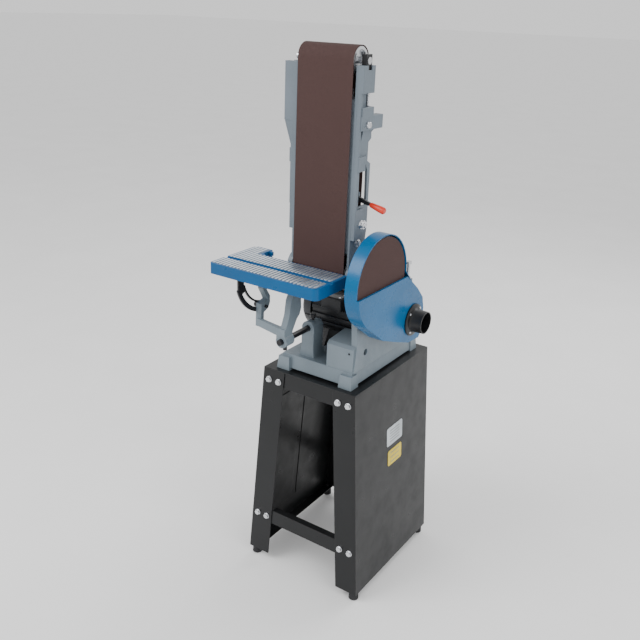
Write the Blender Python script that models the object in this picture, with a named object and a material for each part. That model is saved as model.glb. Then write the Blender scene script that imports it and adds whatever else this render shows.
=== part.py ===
"""A belt and disc sander on a sheet-metal stand. Sizes are in millimetres; the mesh is made in metres.

+X is the disc side, -Y is the side the abrasive belt faces, +Z is up, with the floor at z = 0.
"""

import math

import bmesh
import bpy
from mathutils import Matrix, Vector

MM = 0.001
GAP = 0.3

# Stand
TOP_W, TOP_D, STAND_H = 290.0, 400.0, 630.0
FOOT_W, FOOT_D, FOOT_H = 376.0, 412.0, 24.0
SHEET = 2.5
LEG_FLANGE = 68.0
APRON_H, RAIL_H, RAIL_Z = 46.0, 44.0, 155.0
STAND_BOLT = 8.0

# Base casting on the stand
BASE_H, BASE_X0, BASE_X1, BASE_Y0, BASE_Y1 = 42.0, -114.0, 122.0, -184.0, 172.0
BASE_TOP = STAND_H + GAP + BASE_H
POST_W, POST_D, POST_FRONT = 38.0, 44.0, -149.0

# Table on its bar
BAR_X, BAR_D, BAR_FRONT, BAR_BACK, BAR_Z = -41.0, 16.0, -276.0, -88.0, BASE_TOP + 79.7
TABLE_X0, TABLE_X1, TABLE_Y0, TABLE_Y1 = -235.0, 92.0, -313.0, -178.0
TABLE_Z, TABLE_SKIRT, TABLE_PLATE, TABLE_WALL = BASE_TOP + 261.7, 29.0, 7.0, 7.0
WING_W, WING_Y = 56.0, -126.0
TILT_Y, TILT_Z = -198.0, TABLE_Z - 25
BRACKET_X0, BRACKET_X1, ARM_T = -146.0, -31.0, 17.0
QUAD_T, QUAD_R, QUAD_LOCK = 5.0, 97.5, -102.0
QUAD_OUTER, QUAD_INNER, QUAD_SLOT = 18.5, 11.5, 6.5
TILT_RANGE = 45.0

# Belt unit
BELT_W, BELT_T, BELT_LOOP = 152.4, 1.2, 1219.0
BELT_X = 0.0
DRUM_D = 63.0
AXIS_Y, AXIS_Z = -141.4, BASE_TOP + 251.7
PLATE_GAP, PLATE_T = 4.0, 6.0
SIDE_DEPTH, LEFT_DEPTH = 21.0, 37.0
AXLE_R = 8.0
LEVER_X, LEVER_Y, LEVER_Z, LEVER_DROP = BELT_X + BELT_W / 2 - 10.2, AXIS_Y + 16.4, AXIS_Z + 193.6, 14.8

# Disc unit
DISC_D, DISC_T, GRIT_T = 228.6, 18.0, 1.4
DISC_FACE = 168.0
GUARD_R, GUARD_T, GUARD_BACK, GUARD_FRONT = DISC_D / 2 + 5.7, 2.5, 136.0, 170.0
PORT_Y, PORT_Z, PORT_D = 23.0, BASE_TOP + 106.7, 60.0

# Drive
SPINDLE_D, BEARING_D, BEARING_W = 20.0, 42.0, 12.0
PED_X0, PED_X1, PULLEY_X0, PULLEY_X1 = 101.0, 118.0, 121.0, 133.0
SPINDLE_PULLEY_R, MOTOR_PULLEY_R = 38.0, 27.0
MOTOR_Y, MOTOR_Z, MOTOR_R = -4.0, BASE_TOP + 102.7, 72.0
MOTOR_X0, MOTOR_X1, BELL_L = -120.0, 94.0, 34.0

# Stop for the belt unit when it lies level
STOP_X, STOP_REACH, STOP_BACK = 83.0, 300.0, 35.0

CENTRE_DISTANCE = (BELT_LOOP - math.pi * (DRUM_D + BELT_T)) / 2
IDLER_Z = AXIS_Z + CENTRE_DISTANCE
TRACK_Z = IDLER_Z - 140
DRUM_R = DRUM_D / 2
BELT_X0, BELT_X1 = BELT_X - BELT_W / 2, BELT_X + BELT_W / 2
RIGHT_X = BELT_X1 + PLATE_GAP
LEFT_X = BELT_X0 - PLATE_GAP
STOP_Y, STOP_TOP = AXIS_Y + STOP_REACH, AXIS_Z - STOP_BACK - 0.5
QUAD_X1 = BRACKET_X0 - GAP
QUAD_X0 = QUAD_X1 - QUAD_T


def clear_scene():
    for obj in list(bpy.data.objects):
        bpy.data.objects.remove(obj, do_unlink=True)


def finish_mesh(name, bm):
    bmesh.ops.recalc_face_normals(bm, faces=bm.faces)
    mesh = bpy.data.meshes.new(name)
    bm.to_mesh(mesh)
    bm.free()
    obj = bpy.data.objects.new(name, mesh)
    bpy.context.scene.collection.objects.link(obj)
    return obj


def axis_point(axis, along, u, v):
    """A point whose first number lies along the axis; u and v are the other two in X, Y, Z order."""
    if axis == "x":
        return Vector((along, u, v)) * MM
    if axis == "y":
        return Vector((u, along, v)) * MM
    return Vector((u, v, along)) * MM


def prism(name, axis, outline, a0, a1):
    """The outline, a list of (u, v), carried along the axis from a0 to a1."""
    bm = bmesh.new()
    low = [bm.verts.new(axis_point(axis, a0, u, v)) for u, v in outline]
    high = [bm.verts.new(axis_point(axis, a1, u, v)) for u, v in outline]
    bm.faces.new(low)
    bm.faces.new(high)
    for i in range(len(outline)):
        j = (i + 1) % len(outline)
        bm.faces.new((low[i], low[j], high[j], high[i]))
    return finish_mesh(name, bm)


def box(name, x0, x1, y0, y1, z0, z1):
    return prism(name, "z", [(x0, y0), (x1, y0), (x1, y1), (x0, y1)], z0, z1)


def frustum(name, low, high):
    """A block between two level rectangles, each (x0, x1, y0, y1, z)."""
    bm = bmesh.new()
    rings = []
    for x0, x1, y0, y1, z in (low, high):
        corners = ((x0, y0), (x1, y0), (x1, y1), (x0, y1))
        rings.append([bm.verts.new(Vector((x, y, z)) * MM) for x, y in corners])
    bm.faces.new(rings[0])
    bm.faces.new(rings[1])
    for i in range(4):
        j = (i + 1) % 4
        bm.faces.new((rings[0][i], rings[0][j], rings[1][j], rings[1][i]))
    return finish_mesh(name, bm)


def circle(u, v, radius, count, start=0.0):
    turns = [start + 2 * math.pi * i / count for i in range(count)]
    return [(u + radius * math.cos(t), v + radius * math.sin(t)) for t in turns]


def cylinder(name, axis, u, v, radius, a0, a1, count=32):
    return prism(name, axis, circle(u, v, radius, count), a0, a1)


def lathe(name, axis, u, v, profile, count=32):
    """The profile, (along, radius) from one end to the other, turned round the axis through (u, v)."""
    bm = bmesh.new()
    rings = []
    for along, radius in profile:
        ring = [bm.verts.new(axis_point(axis, along, p, q)) for p, q in circle(u, v, radius, count)]
        rings.append(ring)
    bm.faces.new(rings[0])
    bm.faces.new(rings[-1])
    for first, second in zip(rings, rings[1:]):
        for i in range(count):
            j = (i + 1) % count
            bm.faces.new((first[i], first[j], second[j], second[i]))
    return finish_mesh(name, bm)


def ring(name, axis, u, v, profile, count=48):
    """A closed profile of (along, radius) turned round the axis, so that it leaves a hole."""
    bm = bmesh.new()
    rings = []
    for along, radius in profile:
        rings.append([bm.verts.new(axis_point(axis, along, p, q)) for p, q in circle(u, v, radius, count)])
    for k in range(len(rings)):
        first, second = rings[k], rings[(k + 1) % len(rings)]
        for i in range(count):
            j = (i + 1) % count
            bm.faces.new((first[i], first[j], second[j], second[i]))
    return finish_mesh(name, bm)


def combine(target, other, operation):
    modifier = target.modifiers.new("combine", "BOOLEAN")
    modifier.operation = operation
    modifier.solver = "EXACT"
    modifier.object = other
    graph = bpy.context.evaluated_depsgraph_get()
    mesh = bpy.data.meshes.new_from_object(target.evaluated_get(graph))
    target.modifiers.clear()
    target.data = mesh
    bpy.data.objects.remove(other, do_unlink=True)
    return target


def join(target, *others):
    for other in others:
        combine(target, other, "UNION")
    return target


def cut(target, *others):
    for other in others:
        combine(target, other, "DIFFERENCE")
    return target


def turn(obj, axis, degrees, x, y, z):
    """Turns the object's mesh about a line through the point."""
    centre = Vector((x, y, z)) * MM
    spin = Matrix.Rotation(math.radians(degrees), 4, axis)
    obj.data.transform(Matrix.Translation(centre) @ spin @ Matrix.Translation(-centre))
    return obj


def hex_bolt(name, axis, u, v, seat, way, size, reach):
    """A hex bolt whose washer rests on the seat; way is the sign of the head's side."""
    washer = cylinder(name, axis, u, v, size * 1.1, seat + way * 0.4, seat + way * 0.25 * size, 24)
    head = prism("head", axis, circle(u, v, size * 0.95, 6), seat + way * 0.15 * size,
                 seat + way * 0.85 * size)
    shank = cylinder("shank", axis, u, v, size * 0.48, seat - way * reach, seat + way * 0.5 * size, 16)
    return join(washer, head, shank)


def bore(axis, u, v, radius, a0, a1, count=32):
    return cylinder("bore", axis, u, v, radius, a0, a1, count)


def side_x(z):
    """Half the stand's width at a height."""
    share = (STAND_H - z) / (STAND_H - FOOT_H)
    return (TOP_W + (FOOT_W - TOP_W) * share) / 2


def side_y(z):
    """Half the stand's depth at a height."""
    share = (STAND_H - z) / (STAND_H - FOOT_H)
    return (TOP_D + (FOOT_D - TOP_D) * share) / 2


def stand_bolt_places():
    """Name, x and height of the eight bolts on the stand's front."""
    places = []
    for part, z in (("apron", STAND_H - 33.0), ("rail", RAIL_Z)):
        edge = side_x(z)
        xs = (-edge + 20, -edge + 52, edge - 52, edge - 20)
        places += [(f"stand_{part}_bolt_{i + 1}", x, z) for i, x in enumerate(xs)]
    return places


def loft(name, sections):
    """A tube of equal polygons, each a list of (x, y, z)."""
    bm = bmesh.new()
    rings = [[bm.verts.new(Vector(p) * MM) for p in section] for section in sections]
    bm.faces.new(rings[0])
    bm.faces.new(rings[-1])
    count = len(rings[0])
    for first, second in zip(rings, rings[1:]):
        for i in range(count):
            j = (i + 1) % count
            bm.faces.new((first[i], first[j], second[j], second[i]))
    return finish_mesh(name, bm)


def side_section(sign, z):
    """The folded side sheet at one height: a panel with a flange turned in at each end."""
    x, y, f = side_x(z), side_y(z), LEG_FLANGE
    outer = [(x - f, -y), (x, -y), (x, y), (x - f, y)]
    inner = [(x - f, y - SHEET), (x - SHEET, y - SHEET), (x - SHEET, -y + SHEET), (x - f, -y + SHEET)]
    return [(sign * u, v, z) for u, v in outer + inner]


def make_stand_side(name, sign):
    side = loft(name, [side_section(sign, FOOT_H), side_section(sign, STAND_H - SHEET - GAP)])
    x, y = side_x(FOOT_H), side_y(FOOT_H)
    lip = prism(
        "lip", "z",
        [(sign * (x - 1), -y + 1), (sign * (x - 1), y - 1), (sign * (x - 30), y - 1),
         (sign * (x - 30), -y + 1)],
        FOOT_H, FOOT_H + SHEET,
    )
    join(side, lip)
    z0, z1 = FOOT_H + 70, STAND_H - 130
    for y0, y1 in ((-side_y(z0) + 75, -12), (12, side_y(z0) - 75)):
        inside = [side_x(z0) - SHEET - 1, side_x(z1) - SHEET - 1]
        panel = loft("emboss", [
            [(sign * (inside[0] + a), b, z0) for a, b in ((-0.8, y0), (2, y0), (2, y1), (-0.8, y1))],
            [(sign * (inside[1] + a), b, z1) for a, b in ((-0.8, y0), (2, y0), (2, y1), (-0.8, y1))],
        ])
        join(side, panel)
    for place, bx, bz in stand_bolt_places():
        if bx * sign > 0:
            cut(side, bore("y", bx, bz, STAND_BOLT / 2 + 0.4, -side_y(bz) - 20, -side_y(bz) + 20, 16))
    for bx, by in foot_places():
        if bx * sign > 0:
            cut(side, bore("z", bx, by, 4.4, FOOT_H - 5, FOOT_H + 8, 16))
    return side


def foot_places():
    x, y = FOOT_W / 2 - 16, FOOT_D / 2 - 16
    return [(-x, -y), (x, -y), (-x, y), (x, y)]


def make_feet():
    for name, (x, y) in zip(("foot_front_left", "foot_front_right", "foot_rear_left", "foot_rear_right"),
                            foot_places()):
        top = FOOT_H - GAP
        foot = lathe(name, "z", x, y, [(0, 12), (2, 14), (top - 4, 13), (top, 12)], 24)
        join(foot, cylinder("stud", "z", x, y, 4.0, top - 2, FOOT_H + 11, 16))


def make_front_sheet(name, z0, z1, sign, inset):
    """A folded sheet between the legs, inside their flanges: an apron or a rail."""
    edge0, edge1 = side_x(z0) - SHEET - inset, side_x(z1) - SHEET - inset
    y0, y1 = side_y(z0) - SHEET - GAP, side_y(z1) - SHEET - GAP
    face = loft(name, [
        [(-edge0, sign * y0, z0), (edge0, sign * y0, z0), (edge0, sign * (y0 - SHEET), z0),
         (-edge0, sign * (y0 - SHEET), z0)],
        [(-edge1, sign * y1, z1), (edge1, sign * y1, z1), (edge1, sign * (y1 - SHEET), z1),
         (-edge1, sign * (y1 - SHEET), z1)],
    ])
    depth = 20.0
    inner = edge1 - LEG_FLANGE + SHEET
    for z, y in ((z0, y0), (z1 - SHEET, y1)):
        lip = prism("lip", "z", [(-inner, sign * (y - 1)), (inner, sign * (y - 1)),
                                 (inner, sign * (y - depth)), (-inner, sign * (y - depth))], z, z + SHEET)
        join(face, lip)
    for place, bx, bz in stand_bolt_places():
        if z0 < bz < z1 and sign < 0:
            cut(face, bore("y", bx, bz, STAND_BOLT / 2 + 0.4, -y0 - 20, -y0 + 20, 16))
    return face


def make_stand():
    make_stand_side("stand_side_left", -1)
    make_stand_side("stand_side_right", 1)
    top = box("stand_top", -TOP_W / 2, TOP_W / 2, -TOP_D / 2, TOP_D / 2, STAND_H - SHEET, STAND_H)
    for x, y in base_bolt_places():
        cut(top, bore("z", x, y, 5.5, STAND_H - 9, STAND_H + 4, 16))
    cut(top, bore("z", 0, 20, 30, STAND_H - 9, STAND_H + 4, 32))
    top_z = STAND_H - SHEET - GAP
    make_front_sheet("stand_front_apron", top_z - APRON_H, top_z, -1, 1.0)
    make_front_sheet("stand_rear_apron", top_z - APRON_H, top_z, 1, 1.0)
    make_front_sheet("stand_front_rail", RAIL_Z - RAIL_H / 2, RAIL_Z + RAIL_H / 2, -1, 1.0)
    make_front_sheet("stand_rear_rail", RAIL_Z - RAIL_H / 2, RAIL_Z + RAIL_H / 2, 1, 1.0)
    for name, x, z in stand_bolt_places():
        hex_bolt(name, "y", x, z, -side_y(z), -1, STAND_BOLT, 14)
    make_feet()


def base_bolt_places():
    return [(x, y) for x in (BASE_X0 + 20, BASE_X1 - 20) for y in (BASE_Y0 + 18, BASE_Y1 - 18)]


def make_base():
    z0, pad, top = STAND_H + GAP, STAND_H + GAP + 8, BASE_TOP
    base = frustum("base_casting", (BASE_X0 + 3, BASE_X1 - 3, BASE_Y0 + 9, BASE_Y1 - 9, pad - 2),
                   (BASE_X0 + 9, BASE_X1 - 9, BASE_Y0 + 16, BASE_Y1 - 16, top))
    for x, y in base_bolt_places():
        join(base, frustum("pad", (x - 20, x + 20, y - 18, y + 18, z0),
                           (x - 17, x + 17, y - 15, y + 15, top - 6)))
    hollow = frustum("hollow", (BASE_X0 + 26, BASE_X1 - 26, BASE_Y0 + 40, BASE_Y1 - 40, z0 - 5),
                     (BASE_X0 + 30, BASE_X1 - 30, BASE_Y0 + 44, BASE_Y1 - 44, top - 9))
    cut(base, hollow)
    x0, x1 = BAR_X - POST_W / 2, BAR_X + POST_W / 2
    y0, y1 = POST_FRONT, POST_FRONT + POST_D
    post = frustum("post", (x0 - 5, x1 + 5, y0 - 3, y1 + 10, top - 5), (x0, x1, y0, y1, top + 22))
    join(post, box("stem", x0, x1, y0, y1, top + 15, BAR_Z + 4))
    join(post, lathe("crown", "y", BAR_X, BAR_Z, [(y0, POST_W / 2), (y1, POST_W / 2)], 40))
    join(base, post)
    cut(base, bore("y", BAR_X, BAR_Z, BAR_D / 2 + GAP, y0 - 9, y1 + 9, 40))
    cut(base, bore("z", BAR_X, (y0 + y1) / 2, 4.4, BAR_Z + 2, BAR_Z + 40, 20))
    for x, y in base_bolt_places():
        cut(base, bore("z", x, y, 5.0, z0 - 5, z0 + 26, 16))
    for x, y in pedestal_bolt_places():
        cut(base, bore("z", x, y, 4.4, top - 16, top + 3, 16))
    return base


def make_clamp_screw():
    """The winged screw on the post's top that holds the table bar."""
    y = POST_FRONT + POST_D / 2
    low, seat = BAR_Z + BAR_D / 2 + 0.6, BAR_Z + POST_W / 2 + 1
    screw = lathe("bar_clamp_screw", "z", BAR_X, y, [(low, 4), (seat + 4, 4), (seat + 5, 8), (seat + 14, 8),
                                                     (seat + 16, 6)], 24)
    handle = cylinder("handle", "x", y, seat + 9.5, 3, BAR_X - 24, BAR_X + 24, 16)
    join(screw, handle)


def pedestal_bolt_places():
    return [(PED_X0 - 22.0, -60.0), (PED_X0 - 22.0, 92.0)]


def make_pedestal():
    """The casting that carries the spindle: a block with a second bar socket, a web and a bearing boss."""
    z0, x0, x1 = BASE_TOP + GAP, PED_X0, PED_X1
    top = BAR_Z - 8
    block = prism("spindle_pedestal", "x", [(-168, z0), (-82, z0), (-82, top + 8), (-160, top),
                                            (-168, top - 8)], 34, x1 - 4)
    web = [
        (-166, z0), (110, z0), (110, z0 + 12), (44, MOTOR_Z + 20), (AXIS_Y + 36, AXIS_Z - 16),
        (AXIS_Y - 30, AXIS_Z - 24), (-158, top + 4),
    ]
    join(block, prism("web", "x", web, x0, x1))
    join(block, cylinder("boss", "x", AXIS_Y, AXIS_Z, 40, x0, x1, 48))
    join(block, cylinder("journal", "x", AXIS_Y, AXIS_Z, 27, RIGHT_X + 3, x0 + 3, 48))
    join(block, box("foot", x0 - 40, x1 - 3, -90, 110, z0, z0 + 10))
    cut(block, bore("x", AXIS_Y, AXIS_Z, SPINDLE_D / 2 + 1.5, RIGHT_X - 6, x1 + 9, 40))
    cut(block, bore("x", AXIS_Y, AXIS_Z, BEARING_D / 2 + GAP, x0 + 3, x1 + 9, 40))
    cut(block, bore("x", MOTOR_Y, MOTOR_Z, 26, x0 - 9, x1 + 9, 32))
    cut(block, bore("x", -114, 716, BAR_D / 2 + 1, 50, x1 + 9, 32))
    for x, y in pedestal_bolt_places():
        cut(block, bore("z", x, y, 4.4, z0 - 4, z0 + 20, 16))
    return block


def make_bar():
    bar = lathe("table_bar", "y", BAR_X, BAR_Z, [(BAR_FRONT, BAR_D / 2 - 1), (BAR_FRONT + 1, BAR_D / 2),
                                                 (BAR_BACK - 1, BAR_D / 2), (BAR_BACK, BAR_D / 2 - 1)], 40)
    return cut(bar, box("flat", BAR_X - 10, BAR_X + 10, BAR_FRONT + 40, BAR_BACK + 5,
                        BAR_Z + BAR_D / 2 - 0.6, BAR_Z + 20))


def bracket_arm():
    """An arm of the fork, seen along X: up from the bar's level and back to the tilt pin."""
    y0, z0 = BAR_FRONT + 10, BAR_Z + 21
    lock_y, lock_z = quad_point(QUAD_R, 0)
    return [
        (y0, z0), (y0 + 34, z0), (lock_y + 4, lock_z - 12), (lock_y + 16, lock_z - 2),
        (lock_y + 22, lock_z + 14),
        (lock_y + 20, lock_z + 42), (TILT_Y + 10, TILT_Z - 22), (TILT_Y + 11, TILT_Z),
        (TILT_Y + 8, TILT_Z + 8),
        (TILT_Y - 8, TILT_Z + 8), (TILT_Y - 14, TILT_Z - 4), (lock_y - 22, lock_z + 44),
        (lock_y - 28, lock_z + 6),
    ]


def lock_arm():
    """The fork's left arm, seen along X: a slim curved bar with a boss for the tilt plate's lock."""
    foot_y, foot_z = BAR_FRONT + 38, BAR_Z + 9
    y, z = quad_point(QUAD_R, 0)
    return [
        (foot_y, foot_z), (foot_y + 12, foot_z), (y - 6, z - 15), (y + 12, z - 8), (y + 19, z + 6),
        (y + 19, z + 24), (y + 5, z + 45), (y + 14, z + 66), (TILT_Y + 10, TILT_Z - 16),
        (TILT_Y + 11, TILT_Z),
        (TILT_Y + 8, TILT_Z + 8), (TILT_Y - 8, TILT_Z + 8), (TILT_Y - 14, TILT_Z - 4), (y - 8, z + 68),
        (y - 11, z + 50), (y + 4, z + 25), (y + 8, z + 16), (y - 17, z + 10), (y - 18, z - 12),
    ]


def make_bracket():
    """The cast fork on the bar: a hub, a web and an arm at each side of the tilt pin."""
    hub_y0, hub_y1 = BAR_FRONT + 10, BAR_FRONT + 44
    middle = (hub_y0 + hub_y1) / 2
    hub = cylinder("table_bracket", "y", BAR_X, BAR_Z, 17, hub_y0, hub_y1, 32)
    join(hub, box("block", BAR_X - 16, BAR_X + 10, hub_y0, hub_y1, BAR_Z, BAR_Z + 34))
    x0, x1, t = BRACKET_X0, BRACKET_X1, ARM_T
    foot = hub_y0 + 28
    web = [(x0 + 0.6, foot + 0.8), (x0 + 0.6, foot + 10), (BAR_X - 8, hub_y0 + 20), (BAR_X - 8, hub_y0 + 5)]
    join(hub, prism("web", "z", web, BAR_Z + 10, BAR_Z + 31))
    join(hub, prism("lock_arm", "x", lock_arm(), x0, x0 + t))
    join(hub, prism("plain_arm", "x", bracket_arm(), x1 - t, x1))
    lock_y, lock_z = quad_point(QUAD_R, 0)
    cut(hub, bore("y", BAR_X, BAR_Z, BAR_D / 2 + GAP, hub_y0 - 9, hub_y1 + 9, 40))
    cut(hub, bore("x", TILT_Y, TILT_Z, 4 + GAP, x0 - 9, x1 + 9, 24))
    cut(hub, bore("z", BAR_X, middle, 3.4, BAR_Z - 40, BAR_Z, 16))
    cut(hub, bore("x", lock_y, lock_z, 4 + GAP, x0 - 9, x0 + t + 9, 24))
    screw_z = BAR_Z - BAR_D / 2 - 0.6
    set_screw = cylinder("bar_set_screw", "z", BAR_X, middle, 3, BAR_Z - 27, screw_z, 16)
    join(set_screw, prism("head", "z", circle(BAR_X, middle, 6, 6), BAR_Z - 27, BAR_Z - 17.6))
    return hub


def quad_point(radius, degrees):
    """A point (y, z) on the tilt arc; 0 is where the lock bolt sits with the table level."""
    turn_to = math.radians(QUAD_LOCK + degrees)
    return TILT_Y + radius * math.cos(turn_to), TILT_Z + radius * math.sin(turn_to)


def make_quadrant():
    """The slotted sector under the table: its slot slides past the lock bolt as the table tilts."""
    last = -TILT_RANGE - 6
    steps = 12
    sweep = [8 + (last - 10 - 8) * i / steps for i in range(steps + 1)]
    outer = [quad_point(QUAD_R + QUAD_OUTER, a) for a in sweep]
    inner = [quad_point(QUAD_R - QUAD_INNER, a) for a in reversed(sweep)]
    sector = prism("table_quadrant", "x", outer + inner, QUAD_X0, QUAD_X1)
    top = TABLE_Z - TABLE_PLATE - GAP
    front, back = TABLE_Y0 + TABLE_WALL + 0.5, TILT_Y - QUAD_R + QUAD_INNER - 0.5
    z = quad_point(QUAD_R, last - 5)[1]
    join(sector, box("strap", QUAD_X0, QUAD_X1, front, back, z, top))
    slot_sweep = [5 + (last - 5) * i / steps for i in range(steps + 1)]
    slot = [quad_point(QUAD_R + QUAD_SLOT, a) for a in slot_sweep]
    slot += [quad_point(QUAD_R - QUAD_SLOT, a) for a in reversed(slot_sweep)]
    cut(sector, prism("slot", "x", slot, QUAD_X0 - 5, QUAD_X1 + 5))
    return join(sector, box("flange", QUAD_X0 - 18, QUAD_X1, front, back, top - 4, top))


def make_table():
    x0, x1, y0, y1, z = TABLE_X0, TABLE_X1, TABLE_Y0, TABLE_Y1, TABLE_Z
    skirt = z - TABLE_SKIRT
    r = 14.0
    corner = [(x1 - r + r * math.sin(a), y0 + r - r * math.cos(a)) for a in [math.radians(d) for d in range(0, 91, 15)]]
    wing = [(x1, y1), (x0 + WING_W + 18, y1), (x0 + WING_W, y1 + 14), (x0 + WING_W, WING_Y),
            (x0 + 8, WING_Y), (x0, WING_Y - 8)]
    outline = [(x0, y0 + 4), (x0 + 4, y0)] + corner + wing
    table = prism("table", "z", outline, skirt, z)
    w = TABLE_WALL
    under = [(x0 + w, y0 + w), (x1 - w, y0 + w), (x1 - w, y1 - w), (x0 + WING_W - w, y1 - w),
             (x0 + WING_W - w, WING_Y - w - 2), (x0 + w, WING_Y - w - 2)]
    cut(table, prism("under", "z", under, skirt - 5, z - TABLE_PLATE))
    cut(table, box("miter_slot", x0 - 5, x1 + 5, y0 + 56, y0 + 70, z - 3.5, z + 5))
    for ear in (BRACKET_X0 + ARM_T + 1, BRACKET_X1 - ARM_T - 9):
        lug = [(TILT_Y - 10, z - TABLE_PLATE + 2), (TILT_Y - 10, TILT_Z), (TILT_Y - 6, TILT_Z - 9),
               (TILT_Y + 6, TILT_Z - 9), (TILT_Y + 8, TILT_Z), (TILT_Y + 12, z - TABLE_PLATE + 2)]
        join(table, prism("lug", "x", lug, ear, ear + 8))
    cut(table, bore("x", TILT_Y, TILT_Z, 4 + GAP, BRACKET_X0, BRACKET_X1, 24))
    return table


def make_table_unit():
    make_bar()
    make_bracket()
    make_table()
    make_quadrant()
    pin = lathe("tilt_pin", "x", TILT_Y, TILT_Z, [(BRACKET_X0 - 2, 4), (BRACKET_X1 + 0.5, 4),
                                                  (BRACKET_X1 + 0.5, 7), (BRACKET_X1 + 5, 7)], 24)
    y, z = quad_point(QUAD_R, 0)
    lock = lathe("quadrant_lock_bolt", "x", y, z, [(QUAD_X0 - 12, 6), (QUAD_X0 - 10, 8.5),
                                                   (QUAD_X0 - GAP, 8.5), (QUAD_X0 - GAP, 4),
                                                   (BRACKET_X0 + ARM_T + 6, 4)], 24)
    return pin, lock


def arm_side_outline():
    """The arm's side plate seen along X: (y, z) round its edge."""
    front, top, low = AXIS_Y - 26, IDLER_Z - 11, AXIS_Z - 8
    stop_y, stop_z = AXIS_Y + STOP_BACK, AXIS_Z + STOP_REACH
    return [
        (front, low), (front, top), (AXIS_Y + 16, top), (AXIS_Y + 24, top - 9), (AXIS_Y + 24, IDLER_Z - 68),
        (AXIS_Y + 14, IDLER_Z - 68), (AXIS_Y + 14, IDLER_Z - 103), (AXIS_Y + 25, IDLER_Z - 103),
        (AXIS_Y + 25, IDLER_Z - 124), (AXIS_Y + 68, IDLER_Z - 124), (AXIS_Y + 68, IDLER_Z - 151),
        (AXIS_Y + 46, IDLER_Z - 162), (AXIS_Y + 47, stop_z + 32), (stop_y, stop_z + 24),
        (stop_y, stop_z - 20),
        (AXIS_Y + 49, stop_z - 28), (AXIS_Y + 49, AXIS_Z + 112), (AXIS_Y + 34, AXIS_Z + 24),
        (AXIS_Y + 26, low),
    ]


def arm_window():
    """The opening in each side of the arm, between a slanting rib and the rear rail: (y, z) round it."""
    return [
        (AXIS_Y + 24, AXIS_Z + 322), (AXIS_Y + 6, AXIS_Z + 300), (AXIS_Y + 1, AXIS_Z + 255),
        (AXIS_Y + 2, AXIS_Z + 173), (AXIS_Y + 39, AXIS_Z + 173), (AXIS_Y + 36, AXIS_Z + 258),
        (AXIS_Y + 24, AXIS_Z + 280),
    ]


def make_arm_side(name, x0, sign):
    """One side of the arm: a plate with a window, a pivot hub, front ribs and a boss."""
    x1 = x0 + sign * PLATE_T
    front = AXIS_Y - 26
    plate = prism(name, "x", arm_side_outline(), x0, x1)
    join(plate, cylinder("hub", "x", AXIS_Y, AXIS_Z, 33, x0, x0 + sign * 14, 40))
    cut(plate, prism("window", "x", arm_window(), x0 - sign * 9, x1 + sign * 9))

    def out(depth):
        return sorted((x0 + sign, x0 + sign * depth))

    join(plate, box("rib", *out(17), front + 0.5, front + 7, AXIS_Z + 160, IDLER_Z - 60))
    join(plate, box("boss", *out(20), front + 1, front + 30, AXIS_Z + 262, AXIS_Z + 296))
    return join(plate, box("pivot_block", *out(16), front + 0.8, front + 40, AXIS_Z + 96, AXIS_Z + 170))


def add_right_head(arm):
    """The right side's head: the slide's housing, a flange, the tracking block and a slanting rib."""
    front, x0, x1 = AXIS_Y - 26, RIGHT_X + 1, RIGHT_X + SIDE_DEPTH
    join(arm, box("head", x0, x1, front + 0.3, AXIS_Y + 23.6, IDLER_Z - 70, IDLER_Z - 10))
    join(arm, box("flange", x0, x1, front + 4, AXIS_Y + 26, IDLER_Z - 122, IDLER_Z - 101))
    join(arm, box("tracking_block", x0, x1, front + 2, AXIS_Y + 70, IDLER_Z - 152.5, IDLER_Z - 121))
    slant = [
        (AXIS_Y - 2, IDLER_Z - 150), (AXIS_Y + 34, IDLER_Z - 150),
        (AXIS_Y + 9, AXIS_Z + 293), (front + 1.5, AXIS_Z + 293),
    ]
    return join(arm, prism("slant", "x", slant, x0, RIGHT_X + 13))


def add_left_head(arm):
    """The left side's head: a deeper housing that tapers down into the front rib."""
    front, x0, x1 = AXIS_Y - 26, LEFT_X - LEFT_DEPTH, LEFT_X - 1
    join(arm, box("left_head", x0, x1, front + 0.3, AXIS_Y + 23.6, IDLER_Z - 148, IDLER_Z - 12))
    taper = [(x1, IDLER_Z - 145), (x0 + 1, IDLER_Z - 145), (x0 + 1, IDLER_Z - 150), (x0 + 22, AXIS_Z + 297),
             (x1, AXIS_Z + 297)]
    return join(arm, prism("taper", "y", taper, front + 1.2, front + 9))


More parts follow.
